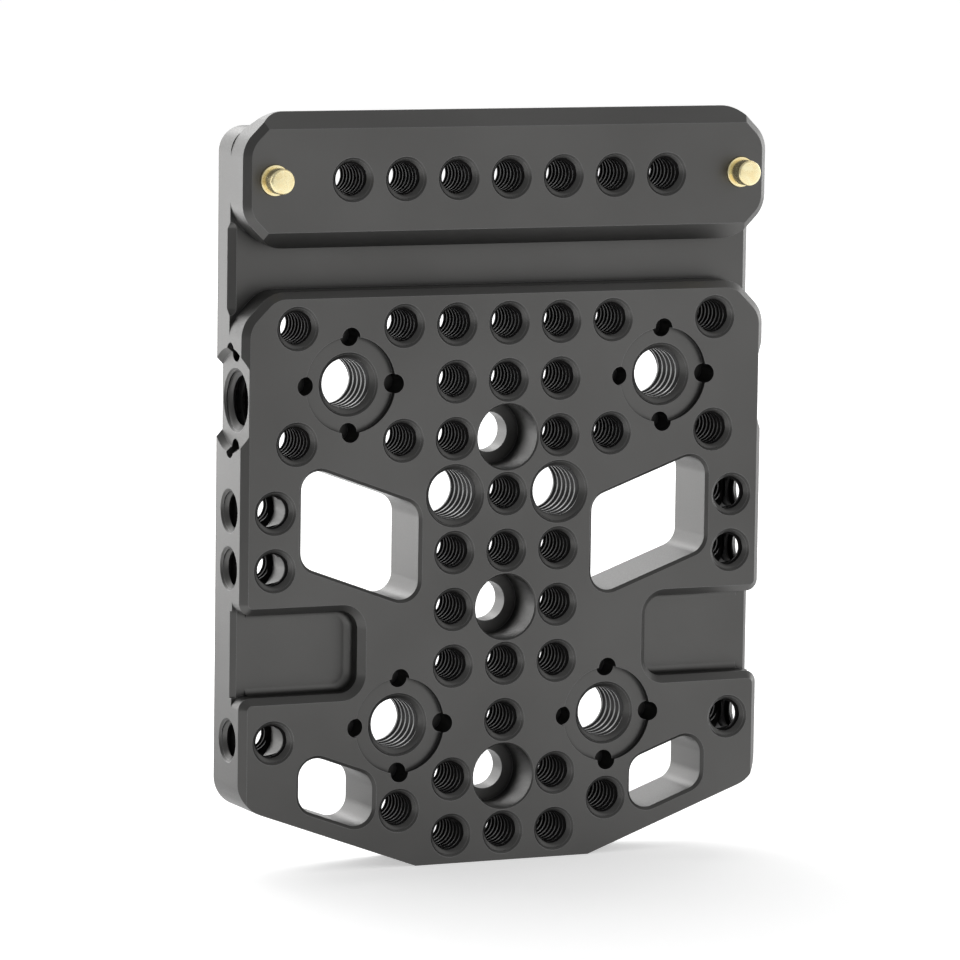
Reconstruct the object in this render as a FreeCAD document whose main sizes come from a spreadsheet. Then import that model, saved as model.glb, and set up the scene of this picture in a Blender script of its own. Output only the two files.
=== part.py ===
import FreeCAD, Part
import math
import os

import Sketcher

# Camera cheese plate: one milled aluminium plate with a grid of tapped holes, a clamping
# rail along its top and two spring loaded stop pins near the rail's ends.
# Millimetres. X runs across the plate, the face looks toward -Y, and Z is up from the foot.
# The origin is the middle of the foot, halfway through the thickness.

SIZES = {
    # Plate
    "plate_width": 90.0,
    "plate_thickness": 11.0,
    "hole_pitch": 9.0,
    "lowest_row": 4.5,
    "deck_top": 91.2,
    "corner_cut": 5.0,
    "corner_radius": 5.0,
    "face_bevel": 1.1,
    # Foot
    "foot_width": 30.0,
    "foot_slope": 20.0,
    "foot_radius": 5.0,
    # Clamping rail and the groove under it
    "groove_width": 6.6,
    "groove_depth": 6.0,
    "rail_width": 21.2,
    "rail_flank": 2.6,
    "rail_land": 0.5,
    "back_radius": 4.0,
    "floor_bevel": 1.1,
    # Windows, slots and side pockets
    "opening_wall": 10.0,
    "window_inner": 15.0,
    "window_bottom": 41.1,
    "window_height": 16.1,
    "slot_length": 12.6,
    "slot_bottom": 5.65,
    "slot_height": 9.1,
    "opening_radius": 3.0,
    "opening_bevel": 0.5,
    "pocket_length": 20.0,
    "pocket_bottom": 28.0,
    "pocket_height": 13.0,
    "pocket_depth": 4.0,
    "pocket_radius": 3.0,
    "pocket_flare": 1.9,
    "pocket_fillet": 1.2,
    "pocket_bevel": 0.8,
    # Tapped holes: 1/4 inch, 20 threads to the inch, and 3/8 inch, 16 threads to the inch
    "small_thread": 6.35,
    "small_mouth": 7.0,
    "large_thread": 9.525,
    "large_mouth": 10.1,
    "drill_angle": 118.0,
    # Counterbored holes
    "screw_hole": 6.4,
    "counterbore": 10.3,
    "counterbore_depth": 7.5,
    "counterbore_bevel": 0.25,
    # Locating mounts
    "locating_disc": 15.2,
    "locating_depth": 1.0,
    "locating_pin_circle": 15.0,
    "locating_pin": 3.0,
    "locating_pin_depth": 4.5,
    # Holes along the sides
    "outer_inset": 9.0,
    "edge_inset": 5.5,
    "edge_drop": 1.6,
    "side_mount_height": 74.15,
    "side_mount_depth": 6.1,
    "side_disc": 16.5,
    "side_disc_taper": 37.0,
    # Stop pins
    "stop_inset": 4.9,
    "stop_rise": 0.15,
    "stop_tip": 4.0,
    "stop_reach": 3.45,
    "stop_bevel": 0.45,
    "stop_collar": 4.8,
    "stop_collar_reach": 0.35,
    "stop_shoulder": 2.5,
    "stop_flange": 6.1,
    "stop_flange_thickness": 0.8,
    "stop_hollow": 3.3,
    "stop_hollow_end": 0.1,
    "running_clearance": 0.05,
    "spring_outside": 3.0,
    "spring_wire": 0.45,
    "spring_turns": 4.0,
    "cap_length": 2.0,
    "cap_recess": 0.2,
    "cap_clearance": 0.06,
    "cap_bevel": 0.3,
    "cap_socket": 3.0,
    "cap_socket_depth": 1.3,
}

# Rows count upward from the lowest row and columns outward from the middle, in hole pitches.
GRID = {
    9: (-2, -1, 0, 1, 2),
    8: (-1, 0, 1),
    7: (-2, -1, 1, 2),
    6: (0,),
    5: (-1, 0, 1),
    4: (-1, 1),
    3: (-1, 0, 1),
    2: (0,),
    1: (-1, 1),
    0.5: (-2, 2),
    0: (-1, 0, 1),
}
OUTER_ROWS = (9, 7)
RAIL_COLUMNS = (-3, -2, -1, 0, 1, 2, 3)
COUNTERBORED_ROWS = (7, 4, 1)
PLAIN_MOUNTS = ((-1, 6), (1, 6))
LOCATING_MOUNTS = ((-3, 8), (3, 8), (-2, 2), (2, 2))
EDGE_ROWS = (6, 5, 2)

# Places that follow from the sizes
HALF_WIDTH = "(Sizes.plate_width / 2)"
HALF_DEPTH = "(Sizes.plate_thickness / 2)"
GROOVE_FLOOR = "(Sizes.plate_thickness / 2 - Sizes.groove_depth)"
POCKET_FLOOR = "(Sizes.plate_thickness / 2 - Sizes.pocket_depth)"
RAIL_BOTTOM = "(Sizes.deck_top + Sizes.groove_width)"
RAIL_TOP = f"({RAIL_BOTTOM} + Sizes.rail_width)"
RAIL_MIDDLE = f"({RAIL_BOTTOM} + Sizes.rail_width / 2)"
STOP_COLUMN = f"({HALF_WIDTH} - Sizes.stop_inset)"
STOP_HEIGHT = f"({RAIL_MIDDLE} + Sizes.stop_rise)"
OUTER_COLUMN = f"({HALF_WIDTH} - Sizes.outer_inset)"
EDGE_COLUMN = f"({HALF_WIDTH} - Sizes.edge_inset)"
OPENING_OUTER = f"({HALF_WIDTH} - Sizes.opening_wall)"
SLOT_INNER = f"({OPENING_OUTER} - Sizes.slot_length)"
POCKET_INNER = f"({HALF_WIDTH} - Sizes.pocket_length)"
BACK_TOP = f"({RAIL_TOP} - Sizes.rail_flank)"
SLOPE = "tan(Sizes.foot_slope)"
FOOT_CORNER = f"({SLOPE} * (Sizes.plate_width - Sizes.foot_width) / 2)"
POCKET_TOP = "(Sizes.pocket_bottom + Sizes.pocket_height)"
SPARE = "Sizes.foot_radius"
CAP_FRONT = "(Sizes.plate_thickness - Sizes.cap_recess - Sizes.cap_length)"


def column(steps):
    """Place across the plate of a column of holes."""
    return f"(Sizes.hole_pitch * {steps})"


def row(steps):
    """Height of a row of holes."""
    return f"(Sizes.lowest_row + Sizes.hole_pitch * {steps})"


def edge_row(steps):
    """Height of a hole along the side, a little lower than the row beside it."""
    return f"({row(steps)} - Sizes.edge_drop)"


def new_sheet(doc):
    """The sheet of driving sizes."""
    sheet = doc.addObject("Spreadsheet::Sheet", "Sizes")
    for line, (alias, value) in enumerate(SIZES.items(), start=1):
        sheet.set(f"A{line}", alias)
        sheet.set(f"B{line}", str(value))
        sheet.setAlias(f"B{line}", alias)
    doc.recompute()
    return sheet


def new_body(doc, name):
    """A body whose label names its file."""
    body = doc.addObject("PartDesign::Body", name)
    body.Label = name
    return body


def new_sketch(body, name, role, height="0", reverse=False):
    """A sketch on one of the body's own origin planes, lifted off it by a height."""
    sketch = body.newObject("Sketcher::SketchObject", name)
    plane = next(item for item in body.Origin.OriginFeatures if item.Role == role)
    sketch.AttachmentSupport = [(plane, "")]
    sketch.MapMode = "FlatFace"
    sketch.MapReversed = reverse
    sketch.setExpression("AttachmentOffset.Base.z", height)
    return sketch


def hold_point(sketch, geometry, position, place):
    """Constraints that hold one point at a place given by two expressions."""
    held = []
    axes = (("DistanceX", -2), ("DistanceY", -1))
    for (kind, axis), expression in zip(axes, place):
        value = float(sketch.evalExpression(expression))
        if abs(value) < 1e-9:
            sketch.addConstraint(Sketcher.Constraint("PointOnObject", geometry, position, axis))
            continue
        index = sketch.addConstraint(
            Sketcher.Constraint(kind, -1, 1, geometry, position, value)
        )
        held.append((index, expression))
    return held


def bind(sketch, held):
    """Ties the listed constraints to their expressions."""
    for index, expression in held:
        sketch.setExpression(f"Constraints[{index}]", expression)


def draw_outline(sketch, corners):
    """Draws a closed outline. Each corner is (across, up, radius), with no radius if sharp."""
    points = [
        FreeCAD.Vector(
            float(sketch.evalExpression(across)), float(sketch.evalExpression(up)), 0
        )
        for across, up, radius in corners
    ]
    count = len(corners)
    starts = []
    ends = []
    arcs = []
    for index, (across, up, radius) in enumerate(corners):
        here = points[index]
        incoming = (here - points[index - 1]).normalize()
        outgoing = (points[(index + 1) % count] - here).normalize()
        if radius is None:
            ends.append(here)
            starts.append(here)
            arcs.append(None)
            continue
        size = float(sketch.evalExpression(radius))
        turn = incoming.getAngle(outgoing)
        reach = size * math.tan(turn / 2)
        left = incoming.cross(outgoing).z > 0
        first = here - incoming * reach
        last = here + outgoing * reach
        side = FreeCAD.Vector(-incoming.y, incoming.x, 0) * (1 if left else -1)
        centre = first + side * size
        arcs.append((first, last, centre, size, left))
        ends.append(first)
        starts.append(last)
    lines = [
        sketch.addGeometry(Part.LineSegment(starts[index], ends[(index + 1) % count]))
        for index in range(count)
    ]
    held = []
    for index, (across, up, radius) in enumerate(corners):
        before = lines[index - 1]
        after = lines[index]
        if arcs[index] is None:
            sketch.addConstraint(Sketcher.Constraint("Coincident", before, 2, after, 1))
            held += hold_point(sketch, after, 1, (across, up))
            continue
        first, last, centre, size, left = arcs[index]
        begin, finish = (first, last) if left else (last, first)
        circle = Part.Circle(centre, FreeCAD.Vector(0, 0, 1), size)
        angles = [math.atan2(end.y - centre.y, end.x - centre.x) for end in (begin, finish)]
        if angles[1] < angles[0]:
            angles[1] += 2 * math.pi
        arc = sketch.addGeometry(Part.ArcOfCircle(circle, angles[0], angles[1]))
        corner = sketch.addGeometry(Part.Point(points[index]), True)
        near, far = (1, 2) if left else (2, 1)
        sketch.addConstraint(
            [
                Sketcher.Constraint("Tangent", before, 2, arc, near),
                Sketcher.Constraint("Tangent", arc, far, after, 1),
                Sketcher.Constraint("PointOnObject", corner, 1, before),
                Sketcher.Constraint("PointOnObject", corner, 1, after),
            ]
        )
        held.append((sketch.addConstraint(Sketcher.Constraint("Radius", arc, size)), radius))
        held += hold_point(sketch, corner, 1, (across, up))
    bind(sketch, held)


def draw_circles(sketch, diameter, places):
    """Draws one circle of the same diameter at each place."""
    size = float(sketch.evalExpression(diameter))
    normal = FreeCAD.Vector(0, 0, 1)
    held = []
    for across, up in places:
        centre = FreeCAD.Vector(
            float(sketch.evalExpression(across)), float(sketch.evalExpression(up)), 0
        )
        circle = sketch.addGeometry(Part.Circle(centre, normal, size / 2))
        index = sketch.addConstraint(Sketcher.Constraint("Diameter", circle, size))
        held.append((index, diameter))
        held += hold_point(sketch, circle, 3, (across, up))
    bind(sketch, held)


def mirrored_corners(corners):
    """The same outline on the other side of the middle, with its corners in turn reversed."""
    return [(f"(-1) * {across}", up, radius) for across, up, radius in reversed(corners)]


def pad(body, name, sketch, length):
    """Material added from a sketch toward its normal."""
    feature = body.newObject("PartDesign::Pad", name)
    feature.Profile = sketch
    feature.setExpression("Length", length)
    sketch.Visibility = False
    body.Document.recompute()
    return feature


def pocket(body, name, sketch, length=None, both_ways=False):
    """Material cut away from a sketch against its normal, to a length or right through."""
    feature = body.newObject("PartDesign::Pocket", name)
    feature.Profile = sketch
    feature.Refine = False
    if both_ways:
        feature.SideType = "Symmetric"
    if length is None:
        feature.Type = "ThroughAll"
    else:
        feature.Type = "Length"
        feature.setExpression("Length", length)
    return checked_cut(body, feature)


def drill(body, name, sketch, diameter, depth=None, mouth=None, bore=None):
    """Drilled holes at a sketch's circles, with a bevelled mouth or a counterbore."""
    feature = body.newObject("PartDesign::Hole", name)
    feature.Profile = sketch
    feature.Refine = False
    body.Document.recompute()
    feature.setExpression("Diameter", diameter)
    if depth is None:
        feature.DepthType = "ThroughAll"
    else:
        feature.DepthType = "Dimension"
        feature.setExpression("Depth", depth)
        feature.DrillPoint = "Angled"
        feature.setExpression("DrillPointAngle", "Sizes.drill_angle")
    if mouth is not None:
        feature.HoleCutType = "Countersink"
        feature.setExpression("HoleCutDiameter", mouth)
        feature.HoleCutCountersinkAngle = 90
    if bore is not None:
        feature.HoleCutType = "Counterbore"
        feature.setExpression("HoleCutDiameter", bore[0])
        feature.setExpression("HoleCutDepth", bore[1])
    return checked_cut(body, feature)


def checked_cut(body, feature, base=None):
    """Recomputes a cut and makes sure that it took material away."""
    before = (base or feature.BaseFeature).Shape.Volume
    body.Document.recompute()
    if feature.Shape.isNull() or feature.Shape.Volume > before - 1e-3:
        raise RuntimeError(f"{feature.Name} cuts nothing")
    return feature


def lies_in_plane(edge, place):
    """Whether an edge lies in the plane Y = place."""
    first, last = edge.ParameterRange
    samples = [edge.valueAt(first + (last - first) * share) for share in (0, 0.37, 1)]
    return all(abs(sample.y - place) < 1e-4 for sample in samples)


def edge_mark(edge):
    """What tells an edge from the others: its middle and its length."""
    middle = edge.CenterOfMass
    return tuple(round(value, 3) for value in (middle.x, middle.z, edge.Length))


def edges_in_plane(feature, place, fresh=False):
    """Names of the edges that lie in the plane Y = place, or only those the feature made."""
    old = feature.BaseFeature.Shape.Edges if fresh else []
    known = {edge_mark(edge) for edge in old if lies_in_plane(edge, place)}
    return [
        f"Edge{number}"
        for number, edge in enumerate(feature.Shape.Edges, start=1)
        if lies_in_plane(edge, place) and edge_mark(edge) not in known
    ]


def bevel(body, name, feature, edges, size):
    """A 45 degree bevel along the named edges."""
    chamfer = body.newObject("PartDesign::Chamfer", name)
    chamfer.Base = (feature, edges)
    chamfer.setExpression("Size", size)
    return checked_cut(body, chamfer)


def both_sides(corners):
    """The outline on the right and its mirror image on the left."""
    return (corners, mirrored_corners(corners))


def slanted_opening(inner, outer, bottom, height):
    """Corners of an opening whose top and bottom run parallel to the foot's slope."""
    radius = "Sizes.opening_radius"
    rise = f"{SLOPE} * ({outer} - {inner})"
    return [
        (inner, bottom, radius),
        (outer, f"({bottom} + {rise})", radius),
        (outer, f"({bottom} + {rise} + {height})", radius),
        (inner, f"({bottom} + {height})", radius),
    ]


def plate_blank(body):
    """The plate's thickness: a back slab, with the deck and the rail standing on it."""
    slab = new_sketch(body, "slab_outline", "XZ_Plane", f"-{HALF_DEPTH}")
    draw_outline(
        slab,
        [
            (f"-{HALF_WIDTH}", f"-{SPARE}", None),
            (HALF_WIDTH, f"-{SPARE}", None),
            (HALF_WIDTH, BACK_TOP, "Sizes.back_radius"),
            (f"-{HALF_WIDTH}", BACK_TOP, "Sizes.back_radius"),
        ],
    )
    pad(body, "slab", slab, "Sizes.plate_thickness - Sizes.groove_depth")

    faces = new_sketch(body, "deck_and_rail_outline", "XZ_Plane", GROOVE_FLOOR)
    inset = f"({HALF_WIDTH} - Sizes.corner_cut)"
    radius = "Sizes.corner_radius"
    draw_outline(
        faces,
        [
            (f"-{HALF_WIDTH}", f"-{SPARE}", None),
            (HALF_WIDTH, f"-{SPARE}", None),
            (HALF_WIDTH, "(Sizes.deck_top - Sizes.corner_cut)", radius),
            (inset, "Sizes.deck_top", radius),
            (f"-{inset}", "Sizes.deck_top", radius),
            (f"-{HALF_WIDTH}", "(Sizes.deck_top - Sizes.corner_cut)", radius),
        ],
    )
    draw_outline(
        faces,
        [
            (f"-{HALF_WIDTH}", f"({RAIL_BOTTOM} + Sizes.corner_cut)", radius),
            (f"-{inset}", RAIL_BOTTOM, radius),
            (inset, RAIL_BOTTOM, radius),
            (HALF_WIDTH, f"({RAIL_BOTTOM} + Sizes.corner_cut)", radius),
            (HALF_WIDTH, f"({RAIL_TOP} - Sizes.corner_cut)", radius),
            (inset, RAIL_TOP, radius),
            (f"-{inset}", RAIL_TOP, radius),
            (f"-{HALF_WIDTH}", f"({RAIL_TOP} - Sizes.corner_cut)", radius),
        ],
    )
    pad(body, "deck_and_rail", faces, "Sizes.groove_depth")


def side_pockets(body, front):
    """Shallow pockets open to the sides, then the bevel that runs round the whole face."""
    radius = "Sizes.pocket_radius"
    flare = "Sizes.pocket_flare"
    run = f"2 * {flare}"
    outside = f"({HALF_WIDTH} + {flare})"
    sketch = new_sketch(body, "side_pocket_outline", "XZ_Plane", HALF_DEPTH)
    right = [
        (POCKET_INNER, "Sizes.pocket_bottom", radius),
        (outside, "Sizes.pocket_bottom", None),
        (outside, POCKET_TOP, None),
        (POCKET_INNER, POCKET_TOP, radius),
    ]
    for corners in both_sides(right):
        draw_outline(sketch, corners)
    cut = pocket(body, "side_pockets", sketch, "Sizes.pocket_depth")
    floor_fillet(body, cut, front + SIZES["pocket_depth"])

    sketch = new_sketch(body, "pocket_mouth_outline", "XZ_Plane", HALF_DEPTH)
    mouth = f"({HALF_WIDTH} - {flare} - Sizes.pocket_bevel / 2)"
    right = [
        (mouth, "Sizes.pocket_bottom", None),
        (HALF_WIDTH, "Sizes.pocket_bottom", flare),
        (HALF_WIDTH, f"(Sizes.pocket_bottom - {run})", None),
        (outside, f"(Sizes.pocket_bottom - {run})", None),
        (outside, f"({POCKET_TOP} + {run})", None),
        (HALF_WIDTH, f"({POCKET_TOP} + {run})", None),
        (HALF_WIDTH, POCKET_TOP, flare),
        (mouth, POCKET_TOP, None),
    ]
    for corners in both_sides(right):
        draw_outline(sketch, corners)
    cut = pocket(body, "pocket_mouths", sketch, "Sizes.pocket_depth")
    bevel(body, "face_bevel", cut, edges_in_plane(cut, front), "Sizes.face_bevel")


def floor_fillet(body, cut, floor):
    """The round that the cutter leaves where the side pockets' walls meet their floors."""
    names = edges_in_plane(cut, floor, fresh=True)
    edges = {name: cut.Shape.getElement(name) for name in names}
    side = max(edge.CenterOfMass.x for edge in edges.values())
    fillet = body.newObject("PartDesign::Fillet", "pocket_fillet")
    fillet.Base = (
        cut,
        [name for name, edge in edges.items() if abs(edge.CenterOfMass.x) < side - 1e-3],
    )
    fillet.setExpression("Radius", "Sizes.pocket_fillet")
    body.Document.recompute()
    if not fillet.isValid() or fillet.Shape.Volume < cut.Shape.Volume + 1e-3:
        raise RuntimeError(f"{fillet.Name} adds nothing")


def rail_section(body):
    """Slanted flanks and the undercuts behind them, cut along the whole rail."""
    sketch = new_sketch(body, "rail_flanks", "YZ_Plane")
    front = f"(-{HALF_DEPTH})"
    flank = "Sizes.rail_flank"
    back_of_land = f"({front} + {flank} + Sizes.rail_land)"
    neck_front = f"({back_of_land} + {flank})"
    floor = f"({front} + Sizes.groove_depth)"
    spare = "(Sizes.rail_land / 4)"
    for edge, inward in ((RAIL_BOTTOM, 1), (RAIL_TOP, -1)):
        outside = f"({edge} - {inward} * {spare})"
        draw_outline(
            sketch,
            [
                (f"({front} - {flank})", f"({edge} + {2 * inward} * {flank})", None),
                (f"({front} - {flank})", outside, None),
                (f"({front} + {flank} + {spare})", outside, None),
            ],
        )
        draw_outline(
            sketch,
            [
                (f"({back_of_land} - {spare})", outside, None),
                (neck_front, f"({edge} + {inward} * {flank})", None),
                (floor, f"({edge} + {inward} * {flank})", None),
                (floor, outside, None),
            ],
        )
    pocket(body, "rail_section", sketch, both_ways=True)


def foot(body):
    """The foot: a flat base between two slopes, with rounded lower corners."""
    sketch = new_sketch(body, "foot_outline", "XZ_Plane")
    half_foot = "(Sizes.foot_width / 2)"
    top = f"({FOOT_CORNER} + 2 * Sizes.foot_radius)"
    outside = f"({HALF_WIDTH} + {SPARE})"
    below = f"(-2 * {SPARE})"
    draw_outline(
        sketch,
        [
            (f"-{outside}", below, None),
            (outside, below, None),
            (outside, top, None),
            (HALF_WIDTH, top, None),
            (HALF_WIDTH, FOOT_CORNER, "Sizes.foot_radius"),
            (half_foot, "0", None),
            (f"-{half_foot}", "0", None),
            (f"-{HALF_WIDTH}", FOOT_CORNER, "Sizes.foot_radius"),
            (f"-{HALF_WIDTH}", top, None),
            (f"-{outside}", top, None),
        ],
    )
    pocket(body, "foot", sketch, both_ways=True)


def floor_bevels(body):
    """Bevels on the outer edges of the groove's floor and of the side pockets' floors."""
    size = "Sizes.floor_bevel"
    groove = new_sketch(body, "groove_floor_bevel", "XY_Plane", "Sizes.deck_top")
    draw_floor_corner(groove, f"(-{GROOVE_FLOOR})", size)
    corner_end = "Sizes.corner_cut + Sizes.corner_radius * tan(22.5)"
    below = f"({corner_end} - {blend_reach('corner_radius', size)} - {size})"
    above = f"({below} + Sizes.groove_width)"
    cut_along(body, "groove_floor_ends", groove, above, below)
    for side, word in ((-1, "left"), (1, "right")):
        for height, end in (
            (f"(Sizes.deck_top - {below})", "lower"),
            (f"(Sizes.deck_top + {above})", "upper"),
        ):
            round_end(body, f"groove_floor_{end}_{word}", side, height, size)

    size = "Sizes.pocket_bevel"
    floor = new_sketch(body, "pocket_floor_bevel", "XY_Plane", "Sizes.pocket_bottom")
    draw_floor_corner(floor, f"(-{POCKET_FLOOR})", size)
    below = f"(Sizes.pocket_flare - {blend_reach('pocket_flare', size)})"
    cut_along(body, "pocket_floor_ends", floor, f"({below} + Sizes.pocket_height)", below)


def blend_reach(radius, size):
    """How far along the side a rounded corner has come in by the width of a bevel."""
    return f"sqrt(2 * Sizes.{radius} * {size} - {size} ^ 2)"


def round_end(body, name, side, height, size):
    """The half cone that ends a bevel on the groove's floor, cut from the floor downward."""
    cone = body.newObject("PartDesign::SubtractiveCone", name)
    plane = next(item for item in body.Origin.OriginFeatures if item.Role == "XZ_Plane")
    cone.AttachmentSupport = [(plane, "")]
    cone.MapMode = "FlatFace"
    cone.setExpression("AttachmentOffset.Base.x", f"{side} * {HALF_WIDTH}")
    cone.setExpression("AttachmentOffset.Base.y", height)
    cone.setExpression("AttachmentOffset.Base.z", f"{GROOVE_FLOOR} - {size}")
    cone.Radius1 = 0
    cone.setExpression("Radius2", size)
    cone.setExpression("Height", size)
    checked_cut(body, cone)


def draw_floor_corner(sketch, floor, size):
    """The corner that a bevel takes off a floor where it meets the plate's side."""
    right = [
        (f"({HALF_WIDTH} - {size})", floor, None),
        (f"({HALF_WIDTH} + {size})", floor, None),
        (f"({HALF_WIDTH} + {size})", f"({floor} + 2 * {size})", None),
    ]
    for corners in both_sides(right):
        draw_outline(sketch, corners)


def cut_along(body, name, sketch, upward, downward):
    """A cut that runs both ways from its sketch, by two lengths."""
    feature = body.newObject("PartDesign::Pocket", name)
    feature.Profile = sketch
    feature.SideType = "Two sides"
    feature.Type = "Length"
    feature.Type2 = "Length"
    feature.setExpression("Length", downward)
    feature.setExpression("Length2", upward)
    return checked_cut(body, feature)


def windows_and_slots(body, front):
    """Openings through the plate that follow the foot's slope, with bevelled front edges."""
    sketch = new_sketch(body, "opening_outlines", "XZ_Plane", HALF_DEPTH)
    window = slanted_opening(
        "Sizes.window_inner", OPENING_OUTER, "Sizes.window_bottom", "Sizes.window_height"
    )
    slot = slanted_opening(SLOT_INNER, OPENING_OUTER, "Sizes.slot_bottom", "Sizes.slot_height")
    for opening in (window, slot):
        for corners in both_sides(opening):
            draw_outline(sketch, corners)
    cut = pocket(body, "windows_and_slots", sketch)
    edges = edges_in_plane(cut, front, fresh=True)
    bevel(body, "opening_bevel", cut, edges, "Sizes.opening_bevel")


def front_holes(body, front):
    """The grid of tapped holes, the counterbored holes and the plain large ones."""
    places = [(column(step), row(line)) for line, steps in GRID.items() for step in steps]
    places += [(column(step), RAIL_MIDDLE) for step in RAIL_COLUMNS]
    for side in (-1, 1):
        places += [(f"({side} * {OUTER_COLUMN})", row(line)) for line in OUTER_ROWS]
        places += [(f"({side} * {EDGE_COLUMN})", edge_row(line)) for line in EDGE_ROWS]
    sketch = new_sketch(body, "small_hole_places", "XZ_Plane", HALF_DEPTH)
    draw_circles(sketch, "Sizes.small_thread", places)
    drill(body, "small_tapped_holes", sketch, "Sizes.small_thread", mouth="Sizes.small_mouth")

    sketch = new_sketch(body, "large_hole_places", "XZ_Plane", HALF_DEPTH)
    draw_circles(sketch, "Sizes.large_thread", [(column(a), row(b)) for a, b in PLAIN_MOUNTS])
    drill(body, "large_tapped_holes", sketch, "Sizes.large_thread", mouth="Sizes.large_mouth")

    sketch = new_sketch(body, "counterbore_places", "XZ_Plane", HALF_DEPTH)
    draw_circles(sketch, "Sizes.counterbore", [("0", row(line)) for line in COUNTERBORED_ROWS])
    cut = drill(
        body,
        "counterbored_holes",
        sketch,
        "Sizes.screw_hole",
        bore=("Sizes.counterbore", "Sizes.counterbore_depth"),
    )
    edges = edges_in_plane(cut, front, fresh=True)
    bevel(body, "counterbore_bevel", cut, edges, "Sizes.counterbore_bevel")


def pin_places(centres, directions):
    """Places of the locating pin holes round each centre."""
    radius = "Sizes.locating_pin_circle / 2"
    return [
        (f"({across} + {a} * {radius})", f"({up} + {b} * {radius})")
        for across, up in centres
        for a, b in directions
    ]


def locating_mounts(body):
    """Large tapped holes in shallow discs, each with four locating pin holes."""
    centres = [(column(a), row(b)) for a, b in LOCATING_MOUNTS]
    sketch = new_sketch(body, "locating_discs_places", "XZ_Plane", HALF_DEPTH)
    draw_circles(sketch, "Sizes.locating_disc", centres)
    pocket(body, "locating_discs", sketch, "Sizes.locating_depth")

    sketch = new_sketch(body, "locating_pin_places", "XZ_Plane", HALF_DEPTH)
    draw_circles(
        sketch, "Sizes.locating_pin", pin_places(centres, ((1, 0), (0, 1), (-1, 0), (0, -1)))
    )
    pocket(body, "locating_pin_holes", sketch, "Sizes.locating_pin_depth")

    floor = f"({HALF_DEPTH} - Sizes.locating_depth)"
    sketch = new_sketch(body, "locating_thread_places", "XZ_Plane", floor)
    draw_circles(sketch, "Sizes.large_thread", centres)
    drill(body, "locating_threads", sketch, "Sizes.large_thread", mouth="Sizes.large_mouth")


def side_features(body):
    """Tapped holes and a locating mount in one side face, mirrored to the other."""
    made = []
    sketch = new_sketch(body, "side_hole_places", "YZ_Plane", HALF_WIDTH)
    draw_circles(sketch, "Sizes.small_thread", [("0", edge_row(line)) for line in EDGE_ROWS])
    made.append(
        drill(
            body,
            "side_tapped_holes",
            sketch,
            "Sizes.small_thread",
            depth="Sizes.edge_inset",
            mouth="Sizes.small_mouth",
        )
    )

    centre = [("0", "Sizes.side_mount_height")]
    sketch = new_sketch(body, "side_disc_place", "YZ_Plane", HALF_WIDTH)
    draw_circles(sketch, "Sizes.side_disc", centre)
    disc = pocket(body, "side_disc", sketch, "Sizes.locating_depth")
    disc.setExpression("TaperAngle", "-Sizes.side_disc_taper")
    made.append(checked_cut(body, disc))

    sketch = new_sketch(body, "side_pin_places", "YZ_Plane", HALF_WIDTH)
    draw_circles(sketch, "Sizes.locating_pin", pin_places(centre, ((0, 1), (0, -1))))
    made.append(pocket(body, "side_pin_holes", sketch, "Sizes.locating_pin_depth"))

    floor = f"({HALF_WIDTH} - Sizes.locating_depth)"
    sketch = new_sketch(body, "side_thread_place", "YZ_Plane", floor)
    draw_circles(sketch, "Sizes.large_thread", centre)
    made.append(
        drill(
            body,
            "side_mount_thread",
            sketch,
            "Sizes.large_thread",
            depth="(Sizes.side_mount_depth - Sizes.locating_depth)",
            mouth="Sizes.large_mouth",
        )
    )

    mirror = body.newObject("PartDesign::Mirrored", "other_side")
    mirror.Originals = made
    plane = next(item for item in body.Origin.OriginFeatures if item.Role == "YZ_Plane")
    mirror.MirrorPlane = (plane, [""])
    body.Tip = mirror
    return checked_cut(body, mirror, base=made[-1])


def stop_pin_bores(body):
    """Stepped bores for the stop pins: narrow at the face, wide from the back."""
    places = [(f"({side} * {STOP_COLUMN})", STOP_HEIGHT) for side in (-1, 1)]
    clearance = "2 * Sizes.running_clearance"
    sketch = new_sketch(body, "stop_face_bores", "XZ_Plane", HALF_DEPTH)
    draw_circles(sketch, f"(Sizes.stop_collar + {clearance})", places)
    pocket(body, "stop_narrow_bores", sketch)

    mirrored = [(f"(-1) * {across}", up) for across, up in places]
    sketch = new_sketch(body, "stop_back_bores", "XZ_Plane", HALF_DEPTH, reverse=True)
    draw_circles(sketch, f"(Sizes.stop_flange + {clearance})", mirrored)
    pocket(body, "stop_wide_bores", sketch, "(Sizes.plate_thickness - Sizes.stop_shoulder)")

    sketch = new_sketch(body, "stop_cap_bores", "XZ_Plane", HALF_DEPTH, reverse=True)
    draw_circles(sketch, "Sizes.small_thread", mirrored)
    pocket(body, "stop_cap_threads", sketch, "(Sizes.cap_recess + Sizes.cap_length)")


def make_plate(doc):
    """The milled aluminium plate, cut in the order in which it would be machined."""
    body = new_body(doc, "plate")
    front = -SIZES["plate_thickness"] / 2
    plate_blank(body)
    side_pockets(body, front)
    rail_section(body)
    foot(body)
    floor_bevels(body)
    windows_and_slots(body, front)
    front_holes(body, front)
    locating_mounts(body)
    stop_pin_bores(body)
    side_features(body)
    return body


def turned(body, name, corners):
    """A piece turned about its own Y axis from half of its section."""
    sketch = new_sketch(body, f"{name}_section", "XY_Plane")
    draw_outline(sketch, corners)
    feature = body.newObject("PartDesign::Revolution", name)
    feature.Profile = sketch
    feature.ReferenceAxis = (sketch, ["V_Axis"])
    feature.Angle = 360
    sketch.Visibility = False
    body.Document.recompute()
    return feature


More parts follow.
